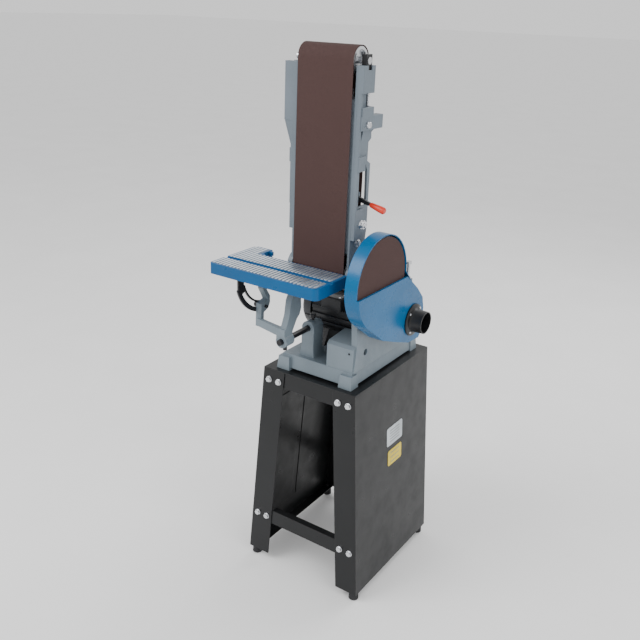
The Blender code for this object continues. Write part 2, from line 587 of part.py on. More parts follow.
def make_arm():
    arm = make_arm_side("arm_frame", RIGHT_X, 1)
    join(arm, make_arm_side("left", LEFT_X, -1))
    add_right_head(arm)
    add_left_head(arm)
    y0, y1 = AXIS_Y - DRUM_R + 9, AXIS_Y + DRUM_R - 8
    z0, z1 = AXIS_Z + 60, IDLER_Z - 84
    join(arm, box("tie", LEFT_X - 2, RIGHT_X + 2, y0, y0 + 7, z0, z1))
    join(arm, box("spine", BELT_X - 6, BELT_X + 6, y0 + 5, y1, z0, z1))
    join(arm, box("lower_tie", LEFT_X - 2, RIGHT_X + 2, y0, y1, z0, z0 + 10))
    join(arm, box("upper_tie", LEFT_X - 2, RIGHT_X + 2, y0, y1, z1 - 10, z1))
    x, y, z = LEVER_X, LEVER_Y, LEVER_Z
    join(arm, box("lever_block", x - 22, x + 10, y0 + 4, y + 10, z - 12, z + 11))
    cut(arm, box("lever_slot", x - 12, x + 30, y - 5, y + 5, z - 20, z + 20))
    cut(arm, bore("x", AXIS_Y, AXIS_Z, 27 + GAP, RIGHT_X - 9, RIGHT_X + 30, 48))
    cut(arm, bore("x", AXIS_Y, AXIS_Z, BEARING_D / 2 + GAP, LEFT_X - 11, LEFT_X + 9, 40))
    cut(arm, bore("y", x, z, 4 + GAP, y - 9.5, y + 12, 24))
    for x in (RIGHT_X, LEFT_X):
        slot = (AXIS_Y - AXLE_R - GAP, AXIS_Y + AXLE_R + GAP, IDLER_Z - AXLE_R - 12, IDLER_Z + AXLE_R + 2)
        cut(arm, box("axle_slot", x - 40, x + 40, *slot))
    side = RIGHT_X + SIDE_DEPTH
    cut(arm, box("spring_pocket", RIGHT_X + 4, side - 3, AXIS_Y - 12, AXIS_Y + 12, IDLER_Z - 62,
                 IDLER_Z + 40))
    return cut(arm, bore("x", AXIS_Y, TRACK_Z, 4 + GAP, RIGHT_X - 9, side + 9, 24))


def capsule(axis_z0, axis_z1, radius, count=24):
    """The outline (y, z) of a belt round two equal drums."""
    steps = [math.pi * i / count for i in range(count + 1)]
    top = [(AXIS_Y + radius * math.cos(a), axis_z1 + radius * math.sin(a)) for a in steps]
    low = [(AXIS_Y - radius * math.cos(a), axis_z0 - radius * math.sin(a)) for a in steps]
    return top + low


def make_loop(name, x0, x1, outer, inner):
    """A band between two equal outlines."""
    bm = bmesh.new()
    rings = []
    for x, outline in ((x0, outer), (x1, outer), (x1, inner), (x0, inner)):
        rings.append([bm.verts.new(axis_point("x", x, y, z)) for y, z in outline])
    for k in range(4):
        first, second = rings[k], rings[(k + 1) % 4]
        for i in range(len(outer)):
            j = (i + 1) % len(outer)
            bm.faces.new((first[i], first[j], second[j], second[i]))
    return finish_mesh(name, bm)


def make_belt_unit():
    make_arm()
    r = DRUM_R + GAP
    make_loop("abrasive_belt", BELT_X0, BELT_X1, capsule(AXIS_Z, IDLER_Z, r + BELT_T),
              capsule(AXIS_Z, IDLER_Z, r))
    front = AXIS_Y - DRUM_R
    box("platen", BELT_X0 + 2, BELT_X1 - 2, front + 0.4, front + 8.5, AXIS_Z + 56, IDLER_Z - 60)
    ends = [(BELT_X0 + 1, DRUM_R - 3), (BELT_X0 + 20, DRUM_R), (BELT_X1 - 20, DRUM_R),
            (BELT_X1 - 1, DRUM_R - 3)]
    bored(lathe("drive_drum", "x", AXIS_Y, AXIS_Z, ends, 48), AXIS_Z, SPINDLE_D / 2 + GAP)
    ends[0], ends[3] = (BELT_X0 + 1, DRUM_R - 1.5), (BELT_X1 - 1, DRUM_R - 1.5)
    bored(lathe("idler_drum", "x", AXIS_Y, IDLER_Z, ends, 48), IDLER_Z, AXLE_R + GAP)
    make_tension()


def bored(drum, z, radius):
    """The drum with its bore and a recess in each end."""
    cut(drum, bore("x", AXIS_Y, z, radius, BELT_X0 - 9, BELT_X1 + 9, 32))
    cut(drum, bore("x", AXIS_Y, z, DRUM_R - 8, BELT_X1 - 9, BELT_X1 + 9, 40))
    return cut(drum, bore("x", AXIS_Y, z, DRUM_R - 8, BELT_X0 - 9, BELT_X0 + 9, 40))


def make_tension():
    """The idler's axle, its sliding block and spring, and the lever that lets the belt go slack."""
    side = RIGHT_X + SIDE_DEPTH
    cylinder("idler_axle", "x", AXIS_Y, IDLER_Z, AXLE_R, LEFT_X - SIDE_DEPTH + 3, side - 2, 32)
    low = IDLER_Z - AXLE_R - 14
    block = box("tension_block", RIGHT_X + 4.6, side - 3.6, AXIS_Y - 11.4, AXIS_Y + 11.4, low, IDLER_Z + 14)
    cut(block, bore("x", AXIS_Y, IDLER_Z, AXLE_R + GAP, RIGHT_X, side, 32))
    make_spring((RIGHT_X + side + 1) / 2, low - GAP, IDLER_Z - 62)
    make_lever()
    screw = [(RIGHT_X + 2, 4), (side + GAP, 4), (side + GAP, 8), (side + 7, 8), (side + 8.5, 6.8)]
    return lathe("tracking_screw", "x", AXIS_Y, TRACK_Z, screw, 6)


def make_lever():
    """The lever and its grip, made level along X and then turned down to where they rest."""
    x, y, z = LEVER_X, LEVER_Y, LEVER_Z
    lever = cylinder("tension_lever", "y", x, z, 4, y - 9, y + 9, 24)
    join(lever, cylinder("eye", "y", x, z, 9, y - 4.4, y + 4.4, 24))
    join(lever, prism("shank", "y", [(x, z + 6), (x, z - 6), (x + 46, z - 4), (x + 46, z + 4)], y - 3.5,
                      y + 3.5))
    join(lever, cylinder("tang", "x", y, z, 3.2, x + 40, x + 74, 16))
    profile = [(x + 48.6, 5), (x + 51, 6.2), (x + 80, 8.6), (x + 87, 8.4), (x + 90, 6)]
    grip = lathe("lever_grip", "x", y, z, profile, 32)
    cut(grip, bore("x", y, z, 3.5, x + 42, x + 75, 20))
    turn(lever, "Y", LEVER_DROP, x, y, z)
    return turn(grip, "Y", LEVER_DROP, x, y, z)


def make_spring(x, top, low):
    """A round-wire coil between the block and the pocket's floor."""
    bm = bmesh.new()
    coil_r, wire_r, turns, steps, sides = 5.0, 0.9, 5, 12, 6
    total = turns * steps
    rise = (top - low - 2 * wire_r - 2 * GAP) / total
    rings = []
    for i in range(total + 1):
        a = 2 * math.pi * i / steps
        centre = Vector((x + coil_r * math.cos(a), AXIS_Y + coil_r * math.sin(a),
                         low + GAP + wire_r + rise * i))
        out = Vector((math.cos(a), math.sin(a), 0))
        wire = circle(0, 0, wire_r, sides)
        rings.append([bm.verts.new((centre + out * p + Vector((0, 0, q))) * MM) for p, q in wire])
    bm.faces.new(rings[0])
    bm.faces.new(rings[-1])
    for first, second in zip(rings, rings[1:]):
        for i in range(sides):
            j = (i + 1) % sides
            bm.faces.new((first[i], first[j], second[j], second[i]))
    return finish_mesh("tension_spring", bm)


def make_bearing(name, x0):
    profile = [(x0, SPINDLE_D / 2 + GAP), (x0 + BEARING_W, SPINDLE_D / 2 + GAP),
               (x0 + BEARING_W, BEARING_D / 2), (x0, BEARING_D / 2)]
    return ring(name, "x", AXIS_Y, AXIS_Z, profile, 32)


def make_spindle():
    left = LEFT_X - 9.5
    stub = DISC_FACE - GRIT_T - GAP - DISC_T + 6
    profile = [(left, 9), (left + 1, 10), (stub - 1, 10), (stub, 9)]
    lathe("spindle", "x", AXIS_Y, AXIS_Z, profile, 32)
    make_bearing("bearing_left", LEFT_X - 10)
    make_bearing("bearing_right", PED_X0 + 3.5)
    back = DISC_FACE - GRIT_T - GAP - DISC_T
    disc_r = DISC_D / 2
    plate = lathe("disc_plate", "x", AXIS_Y, AXIS_Z, [(back - 6, 30), (back, 30), (back, disc_r - 1),
                                                      (back + 1, disc_r), (back + DISC_T - 1, disc_r),
                                                      (back + DISC_T, disc_r - 1)], 72)
    cut(plate, bore("x", AXIS_Y, AXIS_Z, SPINDLE_D / 2 + GAP, back - 9, stub + 2, 40))
    cylinder("abrasive_disc", "x", AXIS_Y, AXIS_Z, disc_r - 0.8, DISC_FACE - GRIT_T, DISC_FACE, 72)
    make_pulley("spindle_pulley", AXIS_Y, AXIS_Z, SPINDLE_PULLEY_R, SPINDLE_D / 2 + GAP)


def make_pulley(name, y, z, radius, hole):
    mid = (PULLEY_X0 + PULLEY_X1) / 2
    profile = [(PULLEY_X0, radius), (mid - 4.5, radius), (mid - 2.2, radius - 7), (mid + 2.2, radius - 7),
               (mid + 4.5, radius), (PULLEY_X1, radius)]
    pulley = lathe(name, "x", y, z, profile, 32)
    return cut(pulley, bore("x", y, z, hole, PULLEY_X0 - 5, PULLEY_X1 + 5, 32))


def belt_outline(offset, count=20):
    """The outline (y, z) of the drive belt, offset outward from the pulleys' groove floors."""
    r1, r2 = SPINDLE_PULLEY_R - 7 + offset, MOTOR_PULLEY_R - 7 + offset
    dy, dz = MOTOR_Y - AXIS_Y, MOTOR_Z - AXIS_Z
    distance = math.hypot(dy, dz)
    heading = math.atan2(dz, dy)
    lean = math.acos((r1 - r2) / distance)
    points = []
    for i in range(count + 1):
        a = heading + lean + (2 * math.pi - 2 * lean) * i / count
        points.append((AXIS_Y + r1 * math.cos(a), AXIS_Z + r1 * math.sin(a)))
    for i in range(count + 1):
        a = heading - lean + 2 * lean * i / count
        points.append((MOTOR_Y + r2 * math.cos(a), MOTOR_Z + r2 * math.sin(a)))
    return points


def make_drive_belt():
    mid = (PULLEY_X0 + PULLEY_X1) / 2
    return make_loop("drive_belt", mid - 1.9, mid + 1.9, belt_outline(5.5), belt_outline(0.5))


def fin_outline():
    """A round body with square cooling fins, seen along X."""
    count, root = 20, MOTOR_R - 6
    shares = ((0.0, root), (0.3, root), (0.3, MOTOR_R), (0.7, MOTOR_R), (0.7, root))
    places = [(2 * math.pi * (i + share) / count, r) for i in range(count) for share, r in shares]
    return [(MOTOR_Y + r * math.cos(a), MOTOR_Z + r * math.sin(a)) for a, r in places]


def make_motor():
    """A finned, foot-mounted motor with a smooth bell over its fan."""
    x0 = MOTOR_X0 + BELL_L + GAP
    body = prism("motor_body", "x", fin_outline(), x0 + 6, MOTOR_X1 - 14)
    join(body, cylinder("spigot", "x", MOTOR_Y, MOTOR_Z, MOTOR_R - 8, x0, MOTOR_X1 - 4, 36))
    join(body, lathe("shield", "x", MOTOR_Y, MOTOR_Z, [(MOTOR_X1 - 16, MOTOR_R + 1),
                                                       (MOTOR_X1 - 5, MOTOR_R + 1), (MOTOR_X1, 34)], 48))
    z0 = BASE_TOP + GAP
    for x in (x0 + 20, MOTOR_X1 - 62):
        low = (x, x + 24, MOTOR_Y - 62, MOTOR_Y + 62, z0)
        join(body, frustum("foot", low, (x, x + 24, MOTOR_Y - 38, MOTOR_Y + 38, MOTOR_Z - MOTOR_R + 16)))
    join(body, box("terminal_box", -40, 20, MOTOR_Y - 86, MOTOR_Y - 40, MOTOR_Z + 18, MOTOR_Z + 52))
    cut(body, bore("x", MOTOR_Y, MOTOR_Z, 7.5, MOTOR_X0, MOTOR_X1 + 5, 24))
    r = MOTOR_R - 2
    bell = lathe("motor_end_bell", "x", MOTOR_Y, MOTOR_Z, [(MOTOR_X0, r - 18), (MOTOR_X0 + 3, r - 9),
                                                           (MOTOR_X0 + 9, r - 2.5), (MOTOR_X0 + 15, r),
                                                           (MOTOR_X0 + BELL_L, r)], 40)
    cut(bell, bore("x", MOTOR_Y, MOTOR_Z, r - 3, MOTOR_X0 + 15, MOTOR_X0 + BELL_L + 5, 40))
    for y, z in circle(MOTOR_Y, MOTOR_Z, 32, 8):
        cut(bell, bore("x", y, z, 6, MOTOR_X0 - 5, MOTOR_X0 + 20, 12))
    shaft = lathe("motor_shaft", "x", MOTOR_Y, MOTOR_Z, [(x0 - 13, 7), (PULLEY_X1 + 1, 7)], 24)
    join(shaft, cylinder("fan", "x", MOTOR_Y, MOTOR_Z, 50, x0 - 12, x0 - 8, 32))
    make_pulley("motor_pulley", MOTOR_Y, MOTOR_Z, MOTOR_PULLEY_R, 7 + GAP)
    return body, bell


def guard_outline(radius):
    """The guard's outline (y, z): round the disc, then down a chute towards the dust port."""
    turns = [math.radians(d) for d in range(0, 236, 5)]
    ring = [(AXIS_Y + radius * math.cos(a), AXIS_Z + radius * math.sin(a)) for a in turns]
    extra = radius - GUARD_R
    chute = [
        (AXIS_Y + 10, PORT_Z - 10 - extra), (AXIS_Y + 88, PORT_Z - 40 - extra),
        (PORT_Y - 14, PORT_Z - 62 - extra),
        (PORT_Y + 44, PORT_Z - 66 - extra), (PORT_Y + 56 + extra, PORT_Z - 52),
        (PORT_Y + 60 + extra, PORT_Z + 16),
        (PORT_Y + 50 + extra, PORT_Z + 50), (PORT_Y + 16 + extra, PORT_Z + 84),
    ]
    return ring + chute


def make_guard():
    """The ring round the disc, with its back plate, and the lower housing that leads to the dust port."""
    back, front, r, t = GUARD_BACK, GUARD_FRONT, GUARD_R, GUARD_T
    guard = prism("disc_guard", "x", guard_outline(r), back, front)
    cut(guard, prism("inside", "x", guard_outline(r - t), back + t, front + 9))
    cut(guard, bore("x", AXIS_Y, AXIS_Z, 34, back - 9, back + 9, 40))
    x0 = front + GAP
    cover = prism("guard_cover", "x", cover_outline(), x0, x0 + 6)
    cut(cover, bore("x", PORT_Y, PORT_Z, PORT_D / 2 - 2, x0 - 5, x0 + 15, 32))
    port = lathe("dust_port", "x", PORT_Y, PORT_Z, [(x0 + 6.3, 44), (x0 + 10, 44), (x0 + 13, 40),
                                                    (x0 + 14, PORT_D / 2 + 3), (x0 + 20, PORT_D / 2 + 1),
                                                    (x0 + 46, PORT_D / 2)], 40)
    cut(port, bore("x", PORT_Y, PORT_Z, PORT_D / 2 - 2.5, x0, x0 + 60, 40))
    return guard, cover, port


def cover_outline():
    """The flat lower cover's outline: level along the top, then round the housing."""
    drop = 14.0
    edge = [point for point in guard_outline(GUARD_R) if point[1] < AXIS_Z - drop]
    half = math.sqrt(GUARD_R ** 2 - drop ** 2)
    return [(AXIS_Y - half, AXIS_Z - drop)] + edge + [(AXIS_Y + half, AXIS_Z - drop)]


def make_stop():
    """The strut behind the spindle, and the bolt that the arm rests on when it lies level."""
    z0, z1 = BASE_TOP + GAP, STOP_TOP - 52
    strut = prism("stop_bracket", "x", [(128, z0), (160, z0), (172, z0 + 20), (172, z1), (145, z1),
                                        (142, z1 - 30)], STOP_X - 9, STOP_X + 9)
    join(strut, box("foot", STOP_X - 24, STOP_X + 24, 122, 154, z0, z0 + 9))
    cut(strut, bore("z", STOP_X, STOP_Y, 5 + GAP, z1 - 24, z1 + 9, 20))
    stop = cylinder("stop_bolt", "z", STOP_X, STOP_Y, 5, z1 - 23, STOP_TOP, 24)
    join(stop, prism("head", "z", circle(STOP_X, STOP_Y, 9.5, 6), STOP_TOP - 7, STOP_TOP))
    join(stop, prism("nut", "z", circle(STOP_X, STOP_Y, 9.5, 6, 0.3), z1 + GAP, z1 + 7))
    return strut


def make_switch():
    """The push-button box on the stand's left side, with its two buttons."""
    y0, y1, z0, z1 = -60.0, 0.0, 490.0, 590.0
    x1 = -side_x(z0) - 3
    x0 = x1 - 38
    case = box("switch_box", x0, x1, y0, y1, z0, z1)
    join(case, loft("seat", [[(-side_x(z) - GAP, y, z), (x1 - 2, y, z), (x1 - 2, y + 44, z),
                              (-side_x(z) - GAP, y + 44, z)] for z,
                              y in ((z0 + 8, y0 + 8), (z1 - 8, y0 + 8))]))
    join(case, cylinder("gland", "z", (x0 + x1) / 2, (y0 + y1) / 2, 9, z0 - 14, z0 + 2, 24))
    middle = (y0 + y1) / 2
    for name, z, r, tall in (("start_button", z1 - 28, 11.0, 5.0), ("stop_button", z0 + 32, 13.0, 9.0)):
        cut(case, bore("x", middle, z, r + 0.6, x0 - 5, x0 + 12, 32))
        lathe(name, "x", middle, z, [(x0 - tall, r - 1.5), (x0 - tall + 1.5, r), (x0 + 8, r)], 32)
    return case


def bounds():
    points = [v.co for obj in bpy.data.objects if obj.type == "MESH" for v in obj.data.vertices]
    low = [min(p[i] for p in points) for i in range(3)]
    high = [max(p[i] for p in points) for i in range(3)]
    return low, high


def centre_on_floor():
    """Puts the middle of the whole part on the Z axis and its lowest point on the floor."""
    low, high = bounds()
    shift = Vector((-(low[0] + high[0]) / 2, -(low[1] + high[1]) / 2, -low[2]))
    for obj in bpy.data.objects:
        obj.data.transform(Matrix.Translation(shift))
    print("moved by", [round(value * 1000, 3) for value in shift])


clear_scene()
make_stand()
make_base()
make_clamp_screw()
make_pedestal()
make_table_unit()
make_belt_unit()
make_spindle()
make_drive_belt()
make_motor()
make_guard()
make_stop()
make_switch()
centre_on_floor()
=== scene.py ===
"""Looks of the belt and disc sander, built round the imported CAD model.

Sizes are in metres, in the model's frame.
"""

import math

import bmesh
import bpy
from mathutils import Matrix, Vector


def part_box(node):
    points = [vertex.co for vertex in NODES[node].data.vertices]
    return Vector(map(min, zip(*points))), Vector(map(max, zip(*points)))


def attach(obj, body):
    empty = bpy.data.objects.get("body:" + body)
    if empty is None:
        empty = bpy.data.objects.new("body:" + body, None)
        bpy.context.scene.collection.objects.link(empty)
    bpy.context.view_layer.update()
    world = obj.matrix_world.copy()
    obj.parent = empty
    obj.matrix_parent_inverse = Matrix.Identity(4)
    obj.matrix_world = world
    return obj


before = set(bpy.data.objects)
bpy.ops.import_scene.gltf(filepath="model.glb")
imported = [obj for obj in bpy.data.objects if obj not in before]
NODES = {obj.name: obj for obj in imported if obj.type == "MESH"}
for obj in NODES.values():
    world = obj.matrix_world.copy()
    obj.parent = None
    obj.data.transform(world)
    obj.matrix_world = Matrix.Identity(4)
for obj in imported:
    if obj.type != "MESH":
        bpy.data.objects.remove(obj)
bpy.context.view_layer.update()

CAMERA_AT = (1.0497, -1.6727, 1.5453)
CAMERA_YAW, CAMERA_PITCH, CAMERA_ROLL = 33.5, 21.9, 2.2
CAMERA_LENS = 44.13

LAMPS = (("key", (-1.6, -2.4, 3.2), 85), ("fill", (3.0, -1.0, 2.2), 30), ("back", (0.6, 2.6, 2.8), 40))
LAMP_SIZE = 2.0
FLOOR_REACH = 60.0

# The table's ground face, measured from the table's own box.
RIB_PITCH = 0.0109
RIB_HEIGHT = 0.0012
RIB_SHARE = 0.52
RIB_OFFSET = 0.28
SLOT_FRONT, SLOT_BACK = 0.056, 0.070
DEEP_PART = 0.135
WING_WIDTH = 0.056

# Label plates on the right stand panel: name, look, bands, y from the stand's middle, and z.
LABELS = (
    ("plate_label_white", "white_label", 5, (-0.036, 0.050), (0.408, 0.464)),
    ("plate_label_yellow", "yellow_label", 3, (-0.030, 0.046), (0.345, 0.392)),
)

# Small fasteners.
STAND_BOLT_HEAD = 0.0068
PORT_SCREW_RING = 0.0365
BEZEL_GAP = 0.0012
SWITCH_SCREW_INSET = 0.007

# The arm's right pivot block: its bolts as (out from the side face, y and z from the spindle's axis).
ARM_FACE_INSET = 0.015
PIVOT_BOLTS = ((0.010, 0.0045, 0.131), (0.0, 0.034, 0.123), (0.0, 0.007, 0.084))
NOTCH_FLOOR, NOTCH_ROOF = -0.1035, -0.0675


# ---------------------------------------------------------------- materials

def new_material(name, roughness, metallic=0.0, coat=0.0, specular=0.5):
    mat = bpy.data.materials.new(name)
    mat.use_nodes = True
    shader = mat.node_tree.nodes["Principled BSDF"]
    shader.inputs["Roughness"].default_value = roughness
    shader.inputs["Metallic"].default_value = metallic
    shader.inputs["Coat Weight"].default_value = coat
    shader.inputs["Coat Roughness"].default_value = 0.15
    shader.inputs["Specular IOR Level"].default_value = specular
    return mat, mat.node_tree, shader


def add(tree, kind, **inputs):
    node = tree.nodes.new(kind)
    for key, value in inputs.items():
        node.inputs[key.replace("_", " ")].default_value = value
    return node


def place(tree, stretch=(1, 1, 1)):
    """The point in the object's own frame, stretched along its axes."""
    coords = tree.nodes.new("ShaderNodeTexCoord")
    mapping = tree.nodes.new("ShaderNodeMapping")
    mapping.inputs["Scale"].default_value = stretch
    tree.links.new(coords.outputs["Object"], mapping.inputs["Vector"])
    return mapping.outputs["Vector"]


def noise(tree, scale, detail=4.0, stretch=(1, 1, 1), rough=0.5):
    node = add(tree, "ShaderNodeTexNoise", Scale=scale, Detail=detail, Roughness=rough)
    tree.links.new(place(tree, stretch), node.inputs["Vector"])
    return node.outputs["Fac"]


def ramp(tree, value, stops):
    """Colours or greys laid along a value: (place, colour) pairs."""
    node = tree.nodes.new("ShaderNodeValToRGB")
    elements = node.color_ramp.elements
    while len(elements) < len(stops):
        elements.new(0.5)
    for element, (at, colour) in zip(elements, stops):
        element.position = at
        element.color = (*colour, 1) if len(colour) == 3 else colour
    tree.links.new(value, node.inputs["Fac"])
    return node.outputs["Color"]


def grey(value):
    return (value, value, value)


def mix(tree, fac, a, b):
    node = tree.nodes.new("ShaderNodeMix")
    node.data_type = "RGBA"
    tree.links.new(fac, node.inputs[0])
    for socket, value in ((node.inputs[6], a), (node.inputs[7], b)):
        if isinstance(value, tuple):
            socket.default_value = (*value, 1)
        else:
            tree.links.new(value, socket)
    return node.outputs[2]


def edge_mask(tree, radius, low=0.02, high=0.25):
    """White along outer and inner edges, from how far a rounded normal leaves the flat one."""
    bevel = add(tree, "ShaderNodeBevel", Radius=radius)
    bevel.samples = 6
    geometry = tree.nodes.new("ShaderNodeNewGeometry")
    dot = tree.nodes.new("ShaderNodeVectorMath")
    dot.operation = "DOT_PRODUCT"
    tree.links.new(bevel.outputs["Normal"], dot.inputs[0])
    tree.links.new(geometry.outputs["Normal"], dot.inputs[1])
    return ramp(tree, dot.outputs["Value"], [(1 - high, grey(1)), (1 - low, grey(0))])


def bump(tree, shader, layers, rounding=0.0):
    """Stacks (height, strength, distance) layers, over edges rounded by this radius."""
    normal = None
    if rounding:
        bevel = add(tree, "ShaderNodeBevel", Radius=rounding)
        bevel.samples = 6
        normal = bevel.outputs["Normal"]
    for height, strength, distance in layers:
        node = add(tree, "ShaderNodeBump", Strength=strength, Distance=distance)
        tree.links.new(height, node.inputs["Height"])
        if normal:
            tree.links.new(normal, node.inputs["Normal"])
        normal = node.outputs["Normal"]
    tree.links.new(normal, shader.inputs["Normal"])


def shade(light, share):
    return tuple(min(1.0, c * share) for c in light)


def paint(name, colour, roughness=0.32, coat=0.05, peel=0.12, wear=None, dirt=0.12, rounding=0.0008):
    """Sprayed enamel: faint orange peel, slow colour drift, and lighter or bare edges."""
    mat, tree, shader = new_material(name, roughness, coat=coat, specular=0.28)
    drift = noise(tree, 7.0, 5.0)
    body = ramp(tree, drift, [(0.3, shade(colour, 1 - dirt)), (0.7, shade(colour, 1 + dirt))])
    if wear:
        chips = noise(tree, 130.0, 6.0)
        edges = edge_mask(tree, rounding * 1.6)
        both = tree.nodes.new("ShaderNodeMath")
        both.operation = "MULTIPLY"
        tree.links.new(edges, both.inputs[0])
        tree.links.new(ramp(tree, chips, [(0.42, grey(0)), (0.62, grey(1))]), both.inputs[1])
        body = mix(tree, both.outputs[0], body, wear)
    tree.links.new(body, shader.inputs["Base Color"])
    gloss = noise(tree, 24.0, 4.0)
    rough = ramp(tree, gloss, [(0.3, grey(roughness * 0.8)), (0.7, grey(min(1, roughness * 1.25)))])
    tree.links.new(rough, shader.inputs["Roughness"])
    bump(tree, shader, [(noise(tree, 260.0, 3.0), peel, 0.0004)], rounding)
    return mat


def casting(name, colour, roughness=0.42):
    """Sand-cast metal under paint: pebbled, a little dusty in the hollows, worn at its corners."""
    mat, tree, shader = new_material(name, roughness, coat=0.05, specular=0.35)
    drift = noise(tree, 10.0, 6.0)
    body = ramp(tree, drift, [(0.25, shade(colour, 0.84)), (0.75, shade(colour, 1.12))])
    grain = noise(tree, 420.0, 4.0)
    speck = ramp(tree, grain, [(0.3, grey(0.0)), (0.75, grey(0.35))])
    body = mix(tree, speck, body, shade(colour, 1.25))
    edges = edge_mask(tree, 0.0018)
    body = mix(tree, edges, body, shade(colour, 1.35))
    tree.links.new(body, shader.inputs["Base Color"])
    rough = ramp(tree, noise(tree, 50.0, 4.0), [(0.3, grey(roughness * 0.8)), (0.7, grey(roughness * 1.3))])
    tree.links.new(rough, shader.inputs["Roughness"])
    waves = (noise(tree, 90.0, 3.0), 0.10, 0.0012)
    pebbles = (noise(tree, 520.0, 5.0), 0.22, 0.0005)
    bump(tree, shader, [waves, pebbles], 0.0018)
    return mat


def metal(name, colour, roughness=0.28, stretch=(1, 1, 1), scale=300.0, rounding=0.0005, tarnish=0.12):
    """Bare or plated steel with fine tool marks drawn out along an axis."""
    mat, tree, shader = new_material(name, roughness, metallic=1.0)
    drift = noise(tree, 18.0, 5.0)
    body = ramp(tree, drift, [(0.3, shade(colour, 1 - tarnish)), (0.7, shade(colour, 1 + tarnish / 2))])
    tree.links.new(body, shader.inputs["Base Color"])
    marks = noise(tree, scale, 6.0, stretch, 0.6)
    rough = ramp(tree, marks, [(0.3, grey(roughness * 0.7)), (0.7, grey(min(1, roughness * 1.4)))])
    tree.links.new(rough, shader.inputs["Roughness"])
    bump(tree, shader, [(marks, 0.08, 0.0003)], rounding)
    return mat


def turned(name, colour, roughness, axis, centre):
    """Turned metal: rings round an axis through the centre."""
    mat, tree, shader = new_material(name, roughness, metallic=1.0)
    coords = tree.nodes.new("ShaderNodeTexCoord")
    shift = tree.nodes.new("ShaderNodeVectorMath")
    shift.operation = "SUBTRACT"
    shift.inputs[1].default_value = centre
    tree.links.new(coords.outputs["Object"], shift.inputs[0])
    keep = tree.nodes.new("ShaderNodeVectorMath")
    keep.operation = "MULTIPLY"
    keep.inputs[1].default_value = (0, 1, 1) if axis == "x" else (1, 1, 0)
    tree.links.new(shift.outputs["Vector"], keep.inputs[0])
    length = tree.nodes.new("ShaderNodeVectorMath")
    length.operation = "LENGTH"
    tree.links.new(keep.outputs["Vector"], length.inputs[0])
    rings = add(tree, "ShaderNodeTexNoise", Scale=900.0, Detail=3.0)
    rings.noise_dimensions = "1D"
    tree.links.new(length.outputs["Value"], rings.inputs["W"])
    tint = noise(tree, 25.0, 4.0)
    body = ramp(tree, tint, [(0.3, shade(colour, 0.9)), (0.7, shade(colour, 1.05))])
    tree.links.new(body, shader.inputs["Base Color"])
    rough = ramp(tree, rings.outputs["Fac"], [(0.3, grey(roughness * 0.7)), (0.7, grey(roughness * 1.4))])
    tree.links.new(rough, shader.inputs["Roughness"])
    bump(tree, shader, [(rings.outputs["Fac"], 0.12, 0.0002)], 0.0006)
    return mat


def grit(name, colour):
    """Coated abrasive: dense dark red-brown grains with a few bright specks, painted glints."""
    mat, tree, shader = new_material(name, 0.82, specular=0.35)
    grains = add(tree, "ShaderNodeTexVoronoi", Scale=1500.0)
    tree.links.new(place(tree), grains.inputs["Vector"])
    sizes = grains.outputs["Distance"]
    body = ramp(tree, sizes, [(0.1, shade(colour, 1.5)), (0.45, colour), (0.8, shade(colour, 0.55))])
    cloud = noise(tree, 5.0, 4.0, (1, 1, 0.35))
    body = mix(tree, ramp(tree, cloud, [(0.35, grey(0)), (0.75, grey(0.5))]), body, shade(colour, 0.82))
    # Painted glints: sparse specks lifted to over three times the grit colour.
    glint = ramp(tree, noise(tree, 2100.0, 1.0), [(0.68, grey(0)), (0.74, grey(0.5))])
    body = mix(tree, glint, body, shade(colour, 3.2))
    tree.links.new(body, shader.inputs["Base Color"])
    rough = ramp(tree, sizes, [(0.1, grey(0.62)), (0.7, grey(0.92))])
    tree.links.new(rough, shader.inputs["Roughness"])
    bump(tree, shader, [(noise(tree, 1600.0, 2.0), 0.45, 0.0004)])
    return mat


def plastic(name, colour, roughness=0.42, grain=700.0, strength=0.12):
    """Moulded plastic or rubber: fine grain and a slow change of gloss."""
    mat, tree, shader = new_material(name, roughness)
    body = ramp(tree, noise(tree, 20.0, 4.0), [(0.3, shade(colour, 0.85)), (0.7, shade(colour, 1.2))])
    body = mix(tree, edge_mask(tree, 0.001), body, shade(colour, 1.6))
    tree.links.new(body, shader.inputs["Base Color"])
    gloss = noise(tree, 60.0, 4.0)
    rough = ramp(tree, gloss, [(0.3, grey(roughness * 0.85)), (0.7, grey(min(1, roughness * 1.2)))])
    tree.links.new(rough, shader.inputs["Roughness"])
    bump(tree, shader, [(noise(tree, grain, 3.0), strength, 0.0003)], 0.0006)
    return mat


CHARCOAL = (0.0095, 0.0100, 0.0108)
CAST_GREY = (0.165, 0.205, 0.235)
BLUE = (0.000, 0.078, 0.22)
GUARD_BLUE = (0.000, 0.100, 0.25)
GRIT_BROWN = (0.060, 0.030, 0.027)
BLACK = (0.012, 0.012, 0.014)
ZINC = (0.70, 0.71, 0.73)

SPINDLE_AT = (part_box("spindle")[0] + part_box("spindle")[1]) / 2
IDLER_AT = (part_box("idler_drum")[0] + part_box("idler_drum")[1]) / 2
PEDESTAL_BOLT_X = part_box("spindle_pedestal")[1].x - 0.039
PEDESTAL_BOLT_Y0, PEDESTAL_BOLT_Y1 = -0.0065, 0.1455

